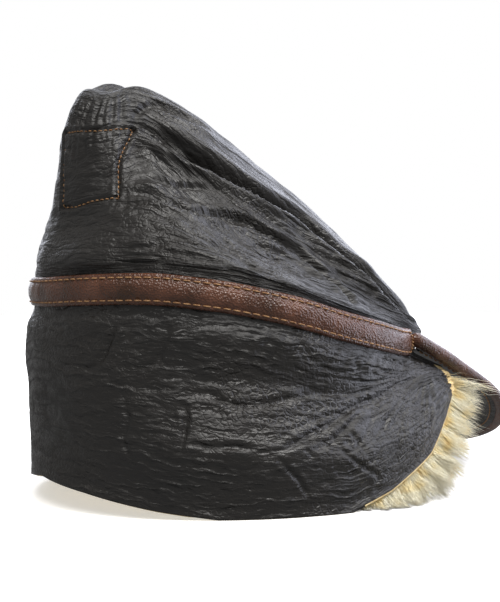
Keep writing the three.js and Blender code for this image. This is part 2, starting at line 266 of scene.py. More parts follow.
# %% Colours and nodes
def hex_colour(code):
    channels = [int(code[i : i + 2], 16) / 255 for i in (0, 2, 4)]
    linear = [c / 12.92 if c <= 0.04045 else ((c + 0.055) / 1.055) ** 2.4 for c in channels]
    return (*linear, 1.0)


def plug(tree, node, inputs):
    """Gives sockets of a node a value, or a link from another node's output."""
    for socket, value in inputs.items():
        if isinstance(value, bpy.types.NodeSocket):
            tree.links.new(value, node.inputs[socket])
        else:
            node.inputs[socket].default_value = value


def add_node(tree, kind, inputs=None, stops=(), **settings):
    """Adds a node with its inputs, its settings and, for a colour ramp, its stops."""
    node = tree.nodes.new(kind)
    for key, value in settings.items():
        setattr(node, key, value)
    plug(tree, node, inputs or {})
    while stops and len(stops) > len(node.color_ramp.elements):
        node.color_ramp.elements.new(0.5)
    for k, (position, code) in enumerate(stops):
        node.color_ramp.elements[k].position = position
        node.color_ramp.elements[k].color = hex_colour(code)
    return node


def new_finish(name):
    material = bpy.data.materials.new(name)
    material.use_nodes = True
    tree = material.node_tree
    return material, tree, tree.nodes["Principled BSDF"]


print("colour of the hide", [round(c, 4) for c in hex_colour("171513")])

# %% [markdown]
# ### Creased dark leather
# The outside of the sheepskin is thin hide with a soft black-brown polyurethane finish. It
# shows three things: a crackle of fine plates where the finish has broken, shallow wrinkles
# that run round the cap, and a satin gloss that turns grey where the light grazes it. The
# hide is drier at the back, so the wrinkles are stronger there.

# %% Dark leather
def wrinkles(tree, place, scale, roughness, width):
    """0 along the lines where a noise passes its middle, 1 a width away from them."""
    pattern = {"Vector": place, "Scale": scale, "Detail": 2.0, "Roughness": roughness}
    grey = add_node(tree, "ShaderNodeTexNoise", pattern).outputs["Fac"]
    away = add_node(tree, "ShaderNodeMath", {0: grey, 1: 0.5}, operation="SUBTRACT").outputs[0]
    away = add_node(tree, "ShaderNodeMath", {0: away}, operation="ABSOLUTE").outputs[0]
    return add_node(tree, "ShaderNodeMapRange", {"Value": away, "From Max": width}).outputs[0]


def dark_leather():
    material, tree, surface = new_finish("creased_dark_sheepskin_leather")
    coordinates = add_node(tree, "ShaderNodeTexCoord").outputs
    place = coordinates["Object"]
    warp = add_node(tree, "ShaderNodeTexNoise", {"Vector": place, "Scale": 90.0, "Detail": 3.0})
    warp = {0: warp.outputs["Color"], 1: (0.004, 0.004, 0.002)}
    warp = add_node(tree, "ShaderNodeVectorMath", warp, operation="MULTIPLY").outputs[0]
    drawn = {0: coordinates["UV"], 1: warp}
    drawn = add_node(tree, "ShaderNodeVectorMath", drawn, operation="ADD").outputs[0]
    flow = {"Vector": drawn, "Scale": (0.24, 1.0, 1.0)}
    flow = add_node(tree, "ShaderNodeMapping", flow).outputs[0]
    fold = wrinkles(tree, flow, 125.0, 0.45, 0.09)
    thin = wrinkles(tree, flow, 330.0, 0.5, 0.13)
    bent = add_node(tree, "ShaderNodeVectorMath", {0: place, 1: warp}, operation="ADD").outputs[0]
    plates = {"Vector": bent, "Scale": 330.0}
    plates = add_node(tree, "ShaderNodeTexVoronoi", plates, feature="DISTANCE_TO_EDGE")
    crackle = {"Value": plates.outputs["Distance"], "From Max": 0.2}
    crackle = add_node(tree, "ShaderNodeMapRange", crackle).outputs[0]
    patch = {"Vector": place, "Scale": 24.0, "Detail": 3.0}
    patch = add_node(tree, "ShaderNodeTexNoise", patch).outputs["Fac"]
    broken = {"Value": patch, "From Min": 0.42, "From Max": 0.66, "To Min": 0.08, "To Max": 0.4}
    broken = add_node(tree, "ShaderNodeMapRange", broken).outputs[0]
    forward = add_node(tree, "ShaderNodeSeparateXYZ", {0: place}).outputs["X"]
    dry = {"Value": forward, "From Min": -0.04, "From Max": 0.03, "To Min": 0.65, "To Max": 0.35}
    dry = add_node(tree, "ShaderNodeMapRange", dry).outputs[0]
    grain = {"Vector": place, "Scale": 1400.0, "Detail": 2.0}
    grain = add_node(tree, "ShaderNodeTexNoise", grain).outputs["Fac"]
    height = {0: crackle, 1: broken}
    height = add_node(tree, "ShaderNodeMath", height, operation="MULTIPLY").outputs[0]
    for layer, weight in ((fold, dry), (thin, 0.3), (grain, 0.06)):
        layered = {0: layer, 1: weight, 2: height}
        height = add_node(tree, "ShaderNodeMath", layered, operation="MULTIPLY_ADD").outputs[0]
    hues = [(0.3, "171513"), (0.7, "211e1b")]
    gloss = {"Value": fold, "To Min": 0.56, "To Max": 0.36}
    relief = {"Height": height, "Distance": 0.0009, "Strength": 0.9}
    plug(tree, surface, {
        "Base Color": add_node(tree, "ShaderNodeValToRGB", {"Fac": patch}, hues).outputs[0],
        "Roughness": add_node(tree, "ShaderNodeMapRange", gloss).outputs[0],
        "Normal": add_node(tree, "ShaderNodeBump", relief).outputs[0],
        "IOR": 1.5,
    })
    return material


DARK_LEATHER = dark_leather()
print("finish", DARK_LEATHER.name)

# %% [markdown]
# ### Polished brown leather
# The band and the visor are thinner calf leather, drum dyed brown and rubbed to a shine. It
# stays smooth, with a fine grain, darker pull-up streaks and small cross creases.

# %% Brown leather
BROWNS = [(0.3, "38200f"), (0.5, "4f2f1f"), (0.72, "66412f")]


def brown_leather():
    material, tree, surface = new_finish("polished_brown_calf_leather")
    place = add_node(tree, "ShaderNodeTexCoord").outputs["Object"]
    patch = {"Vector": place, "Scale": 60.0, "Detail": 5.0}
    patch = add_node(tree, "ShaderNodeTexNoise", patch).outputs["Fac"]
    pores = {"Vector": place, "Scale": 900.0}
    pores = add_node(tree, "ShaderNodeTexVoronoi", pores, feature="F1").outputs["Distance"]
    fine = {"Vector": place, "Scale": 260.0, "Detail": 4.0}
    fine = add_node(tree, "ShaderNodeTexNoise", fine).outputs["Fac"]
    height = {0: fine, 1: 0.8, 2: pores}
    height = add_node(tree, "ShaderNodeMath", height, operation="MULTIPLY_ADD").outputs[0]
    relief = {"Height": height, "Distance": 0.0006, "Strength": 0.8}
    plug(tree, surface, {
        "Base Color": add_node(tree, "ShaderNodeValToRGB", {"Fac": patch}, BROWNS).outputs[0],
        "Roughness": 0.24,
        "Normal": add_node(tree, "ShaderNodeBump", relief).outputs[0],
    })
    return material


BROWN_LEATHER = brown_leather()
print("finish", BROWN_LEATHER.name)

# %% [markdown]
# ### Fleece, raw hide and thread
# The wool is cream with yellow greasy roots and pale tips, quite matt, with the soft sheen of
# fine fibres. The cut edge of the hide is pale and matt, and the waxed thread is orange tan.

# %% Fleece, raw hide and thread
CREAMS = [(0.3, "f2cf7e"), (0.48, "ffedb8"), (0.68, "fffbe6")]


def fleece_wool():
    material, tree, surface = new_finish("cream_sheep_fleece")
    coordinates = add_node(tree, "ShaderNodeTexCoord").outputs
    place = coordinates["Object"]
    tip = add_node(tree, "ShaderNodeSeparateXYZ", {0: coordinates["UV"]}).outputs["Y"]
    lock = {"Vector": place, "Scale": 130.0, "Detail": 4.0}
    lock = {0: tip, 1: 0.28, 2: add_node(tree, "ShaderNodeTexNoise", lock).outputs["Fac"]}
    lock = add_node(tree, "ShaderNodeMath", lock, operation="MULTIPLY_ADD").outputs[0]
    curls = {"Vector": place, "Scale": 700.0, "Detail": 4.0}
    curls = add_node(tree, "ShaderNodeTexNoise", curls).outputs["Fac"]
    relief = {"Height": curls, "Distance": 0.001, "Strength": 0.6}
    plug(tree, surface, {
        "Base Color": add_node(tree, "ShaderNodeValToRGB", {"Fac": lock}, CREAMS).outputs[0],
        "Roughness": 0.85,
        "Normal": add_node(tree, "ShaderNodeBump", relief).outputs[0],
        "Sheen Weight": 0.8,
        "Sheen Tint": hex_colour("fff2d0"),
    })
    return material


def plain_fibre(name, dark, light, rough):
    material, tree, surface = new_finish(name)
    place = add_node(tree, "ShaderNodeTexCoord").outputs["Object"]
    fleck = {"Vector": place, "Scale": 900.0, "Detail": 3.0}
    fleck = add_node(tree, "ShaderNodeTexNoise", fleck).outputs["Fac"]
    hues = [(0.35, dark), (0.65, light)]
    relief = {"Height": fleck, "Distance": 0.0002, "Strength": 0.6}
    plug(tree, surface, {
        "Base Color": add_node(tree, "ShaderNodeValToRGB", {"Fac": fleck}, hues).outputs[0],
        "Roughness": rough,
        "Normal": add_node(tree, "ShaderNodeBump", relief).outputs[0],
    })
    return material


FLEECE_WOOL = fleece_wool()
RAW_HIDE = plain_fibre("raw_cut_hide", "c9ad78", "e4d0a0", 0.9)
THREAD = plain_fibre("waxed_tan_thread", "744c2b", "ab845a", 0.6)
print("finishes", FLEECE_WOOL.name, RAW_HIDE.name, THREAD.name)

# %% [markdown]
# ## Crown
# The crown has no stiffening, so with no head inside it slumps: the front sinks between two
# ridges that run from the peak down to the temples. Nine points on each bearing give that
# form, and a smooth curve through them gives the hide. Modelling it by hand or in a cloth
# simulation would lose the measured ridges, so the form is computed.

# %% Crown form
CROWN_TABLE = {
    # bearing: wall, crease, roll and ridge, each X, Y, Z
    0: ((-107.5, 0, 152), (-104.5, 0, 178), (-100, 0, 209), (-89, 0, 226)),
    20: ((-98, -31, 153), (-94, -25, 181), (-92, -19, 209), (-80, -13, 224)),
    41: ((-81, -54, 155), (-69, -34, 188), (-68, -25, 211), (-61, -15, 229)),
    52: ((-64, -70, 145), (-50, -50, 166), (-45, -41, 192), (-33, -25, 212.5)),
    63: ((-44, -83, 132), (-31, -67, 144), (-21, -55, 170), (-6, -32, 192.5)),
    80: ((-14, -92, 121), (-1, -77, 129), (11, -64, 149), (26, -42, 168)),
    96: ((19, -94, 109.5), (29, -83, 116), (39, -74, 129), (51, -56, 142.5)),
    118: ((61, -87, 98.5), (66, -84, 101), (71, -81, 105), (76, -75, 108)),
    128: ((79, -79, 91.5), (80.5, -78, 94), (82, -77, 97), (81, -73, 100)),
    150: ((104, -48, 84), (102, -47, 87), (99, -46, 90), (96, -44, 93)),
    180: ((120, 0, 78), (118, 0, 81), (115, 0, 84), (111, 0, 87)),
}
ROOF_LOW = np.array([0.0, 0.0, 160.0])
ROOF_SAG = 5.0
FAR_RIDGE_RISE, FAR_RIDGE_BEARING, FAR_RIDGE_SPREAD = 8.0, -38.0, 26.0
PILLOW_SHARE, PILLOW_UP, BAND_CLEAR, FRONT_INSET = 0.7, 15.0, 8.5, 2.5
CROWN_COLUMNS, CROWN_ROWS = 420, 200


def crown_controls(bearing):
    """The nine points of the crown's sections, for an array of bearings."""
    side, mirror = np.abs(bearing), np.where(bearing < 0, -1.0, 1.0)
    table = np.array(list(CROWN_TABLE.values()), float)
    knots = list(CROWN_TABLE)
    far = hump(bearing, FAR_RIDGE_BEARING, FAR_RIDGE_SPREAD) * FAR_RIDGE_RISE
    front = ramp(side, 100, 28)
    taper = 1 - front**2 * (3 - 2 * front)
    points = []
    for k, lift in enumerate([0, 0.2, 0.6, 1]):
        x = smooth(knots, table[:, k, 0], side)
        y = smooth(knots, table[:, k, 1], side, odd=True) * mirror
        z = smooth(knots, table[:, k, 2], side) + lift * far
        points.append(np.stack([x, y, z], -1))
    foot = seam(side) + 0.4
    up = np.minimum(PILLOW_UP, PILLOW_SHARE * (points[0][:, 2] - foot))
    clear = np.minimum(BAND_CLEAR, PILLOW_SHARE * up)
    at_seam = np.full_like(side, -SEAM_INSET)
    in_front = FRONT_INSET * taper - FRONT_INSET
    levels = (at_seam, foot), (at_seam - 0.2, foot + clear), (in_front, foot + up)
    base = [np.stack([*oval(bearing, grow), z], -1) for grow, z in levels]
    roof = (points[3] + ROOF_LOW) / 2
    roof[:, 2] -= ROOF_SAG * taper
    return base + points + [roof, np.broadcast_to(ROOF_LOW, roof.shape)]


def between(a, b, start, end, t):
    return (end - t) / (end - start) * a + (t - start) / (end - start) * b


def through(controls, share):
    """Centripetal curve through the control points, share from 0 to 1 along them."""
    points = np.stack(controls)
    count = len(points) - 1
    first = 2 * points[0] - points[1]
    opposite = np.roll(points[-2], points.shape[1] // 2, axis=0)
    padded = np.concatenate([first[None], points, opposite[None]])
    rows = []
    for s in share:
        i = min(int(s * count), count - 1)
        p = padded[i : i + 4]
        gaps = np.maximum(norm(np.diff(p, axis=0), axis=-1) ** 0.5, 1e-4)[..., None]
        t1, t2, t3 = gaps[0], gaps[0] + gaps[1], gaps.sum(0)
        t = t1 + (s * count - i) * (t2 - t1)
        low, middle = between(p[0], p[1], 0, t1, t), between(p[1], p[2], t1, t2, t)
        high = between(p[2], p[3], t2, t3, t)
        low, high = between(low, middle, 0, t2, t), between(middle, high, t1, t3, t)
        rows.append(between(low, high, t1, t2, t))
    return np.stack(rows)


turns = (np.arange(CROWN_COLUMNS) + 0.5) / CROWN_COLUMNS
crown_bearings = -180 + 360 * turns - 22 * np.sin(2 * np.pi * (turns - 0.72))
crown_shares = np.linspace(0, 0.995, CROWN_ROWS)
crown_axes = crown_bearings, crown_shares
crown_form = through(crown_controls(crown_bearings), crown_shares)
print("sections from", crown_form[..., 2].min().round(1), "to", crown_form[..., 2].max().round(1))

# %% [markdown]
# Five soft forms are added to the sections. The far ridge stands higher than the near one,
# and the hollow between them is deep. The hide rolls over the root of the visor, and the wall
# at the far back has a shallow bulge with a dip below it.

# %% Forms on top of the sections
FAR_RIDGE_LIFT, NEAR_RIDGE_DROP, HOLLOW_DEPTH = 3.5, 1.5, 6.0
VISOR_ROLL_UP, VISOR_ROLL_OUT = 2.5, 11.0
BACK_BULGE, BACK_DIP = 4.5, 4.0
CREST_TURNS, CREST_LIFT = 60, 1.6

up_wall = crown_shares[:, None]
off_middle = np.abs(crown_bearings)
far_ridge = hump(crown_bearings, -56, 15) * hump(up_wall, 0.74, 0.12)
near_ridge = hump(crown_bearings, 20, 11) * hump(up_wall, 0.73, 0.07)
hollow = hump(crown_bearings, 0, 45) * hump(up_wall, 0.87, 0.06)
over_visor = hump(off_middle, 138, 14) * hump(up_wall, 0.42, 0.26)
back_wall = BACK_BULGE * hump(up_wall, 0.38, 0.06) - BACK_DIP * hump(up_wall, 0.24, 0.06)
ridges = FAR_RIDGE_LIFT * far_ridge - NEAR_RIDGE_DROP * near_ridge
crown_form[..., 2] += ridges - HOLLOW_DEPTH * hollow
crown_form[..., 2] += VISOR_ROLL_UP * over_visor
crown_form[..., 0] += VISOR_ROLL_OUT * over_visor * oval(crown_bearings, 0)[0] / HEAD_SIDE
crown_form -= (hump(crown_bearings, -45, 32) * back_wall)[..., None] * across

# %% [markdown]
# Hide this thick can't fold sharply, so both crests are rounded by averaging each point with
# its neighbours. That lowers them a little, and the last line lifts them again.

# %% Rounded crests
crest = ramp(up_wall, 0.5, 0.12) * ramp(off_middle, 85, -20)
soft = crown_form.copy()
for _ in range(CREST_TURNS):
    soft[1:-1] = (soft[:-2] + 2 * soft[1:-1] + soft[2:]) / 4
    soft = (np.roll(soft, 1, 1) + 2 * soft + np.roll(soft, -1, 1)) / 4
crown_form += (soft - crown_form) * crest[..., None]
crown_form[..., 2] += CREST_LIFT * crest * hump(up_wall, 0.75, 0.1)
print("crown from", crown_form[..., 2].min().round(1), "to", crown_form[..., 2].max().round(1))

# %% [markdown]
# The folds go on top of that form as real relief, so that they also show from the side. Each is
# a path over the hide: two long creases run from the corners of a sewn square to the temple,
# and short ones lie between them. A fold is a valley with a swollen lip on both sides.

# %% Folds along paths
def outward_normals(grid, wrap=True, centre=(0, 0, 100)):
    normals = normals_of(grid, wrap)
    row = len(grid) // 3
    facing = np.sum(normals[row] * (grid[row] - centre), -1).mean()
    return normals * np.sign(facing)


def on_grid(grid, bearings, shares, path, count=70):
    """Evenly spread points over a path of (bearing, share) pairs, with those pairs."""
    path = np.array(path, float)
    step = np.linspace(0, len(path) - 1, count)
    b, s = (np.interp(step, np.arange(len(path)), path[:, k]) for k in (0, 1))
    column = np.interp(b, bearings, np.arange(len(bearings)))
    row = np.interp(s, shares, np.arange(len(shares)))
    i = np.minimum(row.astype(int), len(shares) - 2)
    j = np.minimum(column.astype(int), len(bearings) - 2)
    u, v = (row - i)[:, None], (column - j)[:, None]
    low = grid[i, j] * (1 - v) + grid[i, j + 1] * v
    high = grid[i + 1, j] * (1 - v) + grid[i + 1, j + 1] * v
    return low * (1 - u) + high * u, b, s


def fold(grid, bearings, shares, path, depth, width, lip=0.23, ends=0.3, under=0.0):
    """Heights of one fold over a grid. under moves its valley above the path, in mm."""
    line, b, s = on_grid(grid, bearings, shares, path)
    columns = np.where((bearings > b.min() - 14) & (bearings < b.max() + 14))[0]
    rows = np.where((shares > s.min() - 0.2) & (shares < s.max() + 0.2))[0]
    window = np.ix_(rows, columns)
    away = norm(grid[window][:, :, None] - line, axis=-1)
    near = away.argmin(-1)
    away = away.min(-1)
    above = np.where(shares[rows][:, None] > s[near], 1.0, -1.0)
    away = away * above - under
    along = near / (len(b) - 1)
    strength = ramp(along, 0, ends) * ramp(along, 1, -ends) if ends else 1.0
    heights = np.zeros(grid.shape[:2])
    lips = hump(np.abs(away), 2.2 * width, 1.1 * width)
    heights[window] = depth * strength * (lip * lips - hump(away, 0, width))
    return heights


# %% Crown folds
SQUARE = {
    "top": ((-4.5, 0.589), (4.7, 0.589), (15.7, 0.583), (25.7, 0.576), (35.9, 0.567)),
    "front": (
        (35.9, 0.567), (33.5, 0.539), (30.3, 0.514), (28.1, 0.49), (27.5, 0.462), (27.3, 0.415),
    ),
    "bottom": ((27.3, 0.415), (20.9, 0.419), (15.3, 0.418), (8.9, 0.41), (2.1, 0.412)),
    "back": ((2.1, 0.412), (1.5, 0.458), (-0.7, 0.519), (-3.0, 0.561), (-4.5, 0.589)),
}
LONG_CREASE = (
    (36, 0.567), (43, 0.56), (47.3, 0.577), (51.1, 0.582), (55.1, 0.6), (62.1, 0.617),
    (71.1, 0.631), (78.5, 0.639), (84.7, 0.629), (92.1, 0.621), (100.5, 0.611), (110.7, 0.58),
    (120.1, 0.535), (126, 0.5),
)
LOW_CREASE = (
    (27.5, 0.416), (39.9, 0.412), (44.3, 0.411), (51.1, 0.43), (55.3, 0.472), (59.3, 0.516),
    (63.9, 0.543), (74.3, 0.547), (79.1, 0.544), (83.9, 0.52), (89.1, 0.488), (95.5, 0.406),
    (97.5, 0.323),
)
CROWN_FOLDS = [
    # path, depth, width, lip, ends, under
    (LONG_CREASE, 8.0, 3.6, 0.2, 0.25, 3.4),
    (LONG_CREASE, 2.0, 1.4, 0.2, 0.1, 0.6),
    (LONG_CREASE, -2.2, 2.4, 0.0, 0.2, -3.4),
    (LOW_CREASE, 2.8, 2.3, 0.5, 0.08, 0.6),
    (((36.3, 0.443), (42.5, 0.449), (47, 0.47), (52, 0.52), (57.9, 0.57)), 1.8, 1.6, 0.5, 0.3),
    (((37.7, 0.534), (45.5, 0.555), (49.7, 0.575), (52.9, 0.59)), 1.2, 1.4, 0.5, 0.3),
    (((37.9, 0.286), (43.9, 0.301), (48.3, 0.317)), 1.3, 1.8, 0.5, 0.4),
    (((50.9, 0.313), (60.1, 0.374), (65.5, 0.351), (75.3, 0.209)), 1.4, 2.4, 0.5, 0.4),
    (((36, 0.567), (38, 0.62), (43, 0.67), (50, 0.69), (58, 0.71)), 1.4, 1.8, 0.5, 0.3),
    (((66, 0.46), (72, 0.47), (80, 0.45), (86, 0.40)), 1.0, 1.8, 0.5, 0.4),
    (((58, 0.44), (66, 0.49), (74, 0.51), (82, 0.49)), 0.9, 1.5, 0.5, 0.4),
    ([(-b, s) for b, s in LONG_CREASE], 5.0, 3.4, 0.3, 0.22, 3.0),
    *((path, 1.5, 1.15, 0.3, 0.0) for path in SQUARE.values()),
]
crown_normals = outward_normals(crown_form)
bearing_grid, share_grid = np.meshgrid(*crown_axes)
relief = np.zeros_like(share_grid)
for path, *shape in CROWN_FOLDS:
    relief += fold(crown_form, *crown_axes, path, *shape)
print(len(CROWN_FOLDS), "folds, the deepest", -relief.min().round(1), "mm")

# %% [markdown]
# Between the folds the hide is puckered. Gathers stand across the top seam of the square, where
# the thread draws it in, and long flat wrinkles fan from the square towards the temple.

# %% Crown wrinkles
CROWN_DEGREE, CROWN_LENGTH = 1.7, 230
hide = np.stack([bearing_grid * CROWN_DEGREE, share_grid * CROWN_LENGTH, 0 * share_grid], -1)
body = ramp(share_grid, 0.14, 0.08) * ramp(share_grid, 0.99, -0.1)
fan = ramp(np.abs(bearing_grid), 26, 10) * ramp(np.abs(bearing_grid), 128, -25)
smooth_roll = ramp(share_grid, 0.60, 0.05)
flat_wrinkles = 1.7 * creases(hide, (26, 7.5, 9), 2, 5) + 0.9 * creases(hide, (13, 3.8, 9), 3, 5)
relief -= body * flat_wrinkles * (0.25 + 0.75 * fan) * (1 - 0.75 * smooth_roll)
relief += body * 1.1 * swell(crown_form, 26, 1) + body * 0.5 * swell(crown_form, 11, 4)
gathered = ramp(bearing_grid, -2, 8) * ramp(bearing_grid, 39, -5)
wave = np.sin(2 * np.pi * (bearing_grid / 4.6 + 0.45 * swell(hide, (6, 9, 9), 8)))
over_seam = hump(share_grid, 0.635, 0.04) + 0.8 * hump(share_grid, 0.55, 0.022)
under_square = 0.2 * hump(share_grid, 0.385, 0.02)
uneven = 0.6 + 0.4 * swell(hide, (8, 12, 9), 9)
relief += 1.3 * gathered * wave * (over_seam + under_square) * uneven
crown_grid = crown_form + crown_normals * relief[..., None]
lip = crown_grid[:3] - outward_normals(crown_grid)[:3] * LEATHER
lip[..., 2] = crown_grid[:3, :, 2]
crown_grid_in = np.concatenate([lip[::-1], crown_grid])
crown = skin_from_grid("crown_hide", crown_grid_in, wrap=True, closed=True)
hide_map(crown, np.concatenate([hide[:3][::-1], hide]).reshape(-1, 3)[:, :2])
settle(crown, DARK_LEATHER, "dark_leather", "crown")

# %% [markdown]
# ## Ear flaps
# One hide hangs from the seam and goes from temple to temple round the back. It stands on its
# cut hem at both sides. Below the band it sinks in, lower down it bulges, and its front corners
# flare out because the wool inside pushes them. It is a solid sheet, so its cut edge can show.

# %% Flap form
FLAP_TABLE = {
    # bearing: hem, swell at the edge, under the band, above the middle, below it, at the foot
    0: (15.5, 0, 2.5, 3.5, 3, 2),
    20: (10.9, 0, 2, 3, 2.5, 0.5),
    41: (4.4, 0, 1, 0, 3, -1.5),
    58: (0, 0, 1, -3, 5, -2),
    80: (0, 0, 1, -4, 8, 3),
    93: (0, 0, 1, -3, 10.5, 8),
    104: (8, 0, 1, -1, 13, 12),
    118: (24, 0, 0.6, 5, 17, 18),
    128: (42, 1, 5.6, 13, 20, 20),
    137.5: (60, 20, 22, 23, 24, 24),
    148: (46, 42, 42, 42, 42, 40),
}
FREE_EDGE_BEARING = [0, 104, 118, 128, 137.5, 148]
FREE_EDGE_DROP = [0, 0, 0, 4, 12.5, 20]
SWELL_AT = np.array([0, 0.09, 0.17, 0.36, 0.7, 1])
FLAP_END = 136.0
FLAP_COLUMNS, FLAP_ROWS = 420, 110
FLAP_DEGREE, FLAP_HEIGHT = 1.8, 95


def flap_points(bearings, shares, depth=0.0):
    """Points of the flaps' leather face, or some depth below it."""
    side = np.abs(bearings)
    table = np.array(list(FLAP_TABLE.values()), float)
    knots = list(FLAP_TABLE)
    hem = np.interp(side, knots, table[:, 0])
    top = seam(side) - 0.4 - np.interp(side, FREE_EDGE_BEARING, FREE_EDGE_DROP)
    hem = np.minimum(hem, top - 3)
    swells = np.stack([smooth(knots, table[:, k], side) for k in (1, 1, 2, 3, 4, 5)])
    swells[:2] -= SEAM_INSET
    z = top + (hem - top) * shares[:, None]
    grow = np.empty_like(z)
    for column in range(len(bearings)):
        grow[:, column] = np.interp(shares, SWELL_AT, swells[:, column])
    kernel = np.hanning(max(3, len(shares) // 8))
    kernel /= kernel.sum()
    margin = len(kernel) // 2
    extended = np.pad(grow, ((margin, margin), (0, 0)), "edge")
    grow = np.stack([np.convolve(c, kernel, "valid")[: len(shares)] for c in extended.T], 1)
    x, y = oval(np.broadcast_to(bearings, z.shape), grow - depth)
    return np.stack([x, y, z], -1)


turns = np.linspace(0, 1, FLAP_COLUMNS)
flap_bearings = -FLAP_END + 2 * FLAP_END * turns + 20 * np.sin(np.pi * turns) ** 2
flap_shares = np.linspace(0, 1, FLAP_ROWS)
flap_axes = flap_bearings, flap_shares
flap_form = flap_points(*flap_axes)
flap_normals = outward_normals(flap_form, wrap=False, centre=(0, 0, 50))
flap_bearing, flap_share = np.meshgrid(*flap_axes)
FLAP_FOLDS = [
    # path, depth, width, and a lip where it is higher
    (((48.1, 0.453), (56.1, 0.437), (61.7, 0.481), (70.3, 0.461), (83.8, 0.391), (94.6, 0.367)),
     1.6, 1.586),
    (((120, 0.35), (102.1, 0.423), (90.1, 0.475), (74.3, 0.589)), 1.5, 1.495, 0.27),
    (((117, 0.375), (95.6, 0.447), (86.5, 0.547), (78.6, 0.619), (71.1, 0.685)), 1.8, 1.495, 0.27),
    (((71.1, 0.685), (62.5, 0.659), (55, 0.669), (50, 0.66)), 1.6, 1.404),
    (((113, 0.4), (97.4, 0.475), (88.1, 0.613), (80, 0.68)), 1.3, 1.313, 0.27),
    (((88.1, 0.613), (91.8, 0.699), (99.3, 0.846), (101, 0.9)), 1.2, 1.118),
    (((91, 0.54), (93.6, 0.573), (98.3, 0.776)), 1.0, 1.118),
    (((71.1, 0.685), (78.4, 0.82), (81.6, 0.924)), 1.2, 1.222),
    (((74.9, 0.651), (80, 0.625), (85.5, 0.613)), 1.1, 1.118),
    (((49.1, 0.48), (50, 0.55), (49.2, 0.653), (47.5, 0.76)), 1.5, 1.404),
    (((112, 0.465), (117.9, 0.563), (123.4, 0.681)), 1.0, 1.118),
    (((30.7, 0.13), (29.5, 0.2), (27.6, 0.285), (24.8, 0.363), (17.9, 0.393)), 1.4, 1.404),
    (((45.5, 0.16), (44, 0.24), (42, 0.33), (34.3, 0.379)), 1.2, 1.313),
    (((32.1, 0.443), (34.5, 0.599), (32.9, 0.693), (36, 0.8)), 1.0, 1.313),
]
relief = np.zeros_like(flap_share)
for path, *shape in FLAP_FOLDS:
    relief += fold(flap_form, *flap_axes, path, *shape)

# %% [markdown]
# Fine wrinkles leave the front top corner of the flap like the ribs of a fan, because the band
# and the visor pull there. Short slanting gathers hang under the band, and the rest is crackled.

# %% Flap wrinkles
flap_side = np.abs(flap_bearing)
flap_down = flap_share * FLAP_HEIGHT
from_corner = np.stack([(124 - flap_side) * 1.9, (flap_share - 0.3) * FLAP_HEIGHT], -1)
corner_reach = norm(from_corner, axis=-1)
corner_turn = np.degrees(np.arctan2(from_corner[..., 1], from_corner[..., 0] + 6))
fan_out = corner_turn * 0.9 + 5 * swell(flap_form, 30, 13)
ribs = np.stack([fan_out, corner_reach * 0.22, 0 * corner_turn], -1)
rib_reach = ramp(corner_reach, 0, 14) * hump(corner_reach, 0, 85)
free = ramp(flap_share, 0.09, 0.08) * ramp(flap_share, 1, -0.05)
relief -= free * rib_reach * (1.9 * creases(ribs, 5.2, 14, 4) + 1.0 * creases(ribs, 2.6, 15, 4))
along_slant = flap_side * FLAP_DEGREE + flap_down * 0.7
slant = np.stack([along_slant, flap_down * 0.25, 0 * flap_side], -1)
gather_reach = hump(flap_share, 0.17, 0.1) * np.clip((flap_side - 44) / 30, 0.25, 1)
relief -= free * gather_reach * 1.1 * creases(slant, 4.2, 16, 4)
relief += free * 1.2 * swell(flap_form, 24, 5)
crackled = 0.3 + 0.35 * ramp(flap_side, 88, -25)
relief -= free * crackled * 0.7 * creases(flap_form * [1, 1, 1.5], 15, 6, 11)
relief -= free * crackled * 0.45 * creases(flap_form * [1, 1, 1.3], 7, 7, 8)
flap_grid = flap_form + flap_normals * relief[..., None]
print("flap relief", relief.min().round(1), "to", relief.max().round(1), "mm")

# %% [markdown]
# The leather face and its back are joined by a rim, which is the cut edge. The knife also
# bares a narrow strip of the face along the front edges and the lifted part of the hem.

# %% Flap mesh with its cut edge
BARE_COLUMNS, BARE_FROM_ROW, BARE_HEM_FROM = 3, 7, 96
flap_back = flap_points(flap_bearings * 1.004, flap_shares, LEATHER)
flap_back[-1, :, 2] -= 0.8 * np.clip(flap_back[-1, :, 2] - 1, 0, 1)
outer = FLAP_ROWS * FLAP_COLUMNS
faces = grid_faces(FLAP_ROWS, FLAP_COLUMNS, False)
faces += [face[::-1] for face in grid_faces(FLAP_ROWS, FLAP_COLUMNS, False, outer)]
number = np.arange(outer).reshape(FLAP_ROWS, FLAP_COLUMNS)
rim = [*number[:, 0], *number[-1, 1:], *number[-2::-1, -1], *number[0, -2::-1]]
faces += [[int(c) for c in (a, b, b + outer, a + outer)] for a, b in zip(rim, rim[1:])]
both_faces = np.concatenate([flap_grid.reshape(-1, 3), flap_back.reshape(-1, 3)])
ear_flaps = make_mesh("ear_flap_hide", both_faces, faces)
settle(ear_flaps, DARK_LEATHER, "dark_leather", "ear_flaps")
ear_flaps.data.materials.append(RAW_HIDE)
bare = np.zeros((FLAP_ROWS - 1, FLAP_COLUMNS - 1), int)
bare[BARE_FROM_ROW:, :BARE_COLUMNS] = bare[BARE_FROM_ROW:, -BARE_COLUMNS:] = 1
bare[-1, flap_side[0, :-1] > BARE_HEM_FROM] = 1
on_rim = np.repeat([0, 1], [2 * bare.size, len(rim) - 1])
polygons = ear_flaps.data.polygons
polygons.foreach_set("material_index", np.append(bare, on_rim[bare.size :]))
polygons.foreach_set("use_smooth", on_rim == 0)
flap_map = np.stack([flap_bearing * FLAP_DEGREE, flap_down], -1).reshape(-1, 2)
hide_map(ear_flaps, np.concatenate([flap_map] * 2))

# %% [markdown]
# ## Band
# A strip of brown calf leather is laid over the seam, padded a little so that it domes, and
# sewn down with a row of thread near each edge. The thread pulls its edges down.

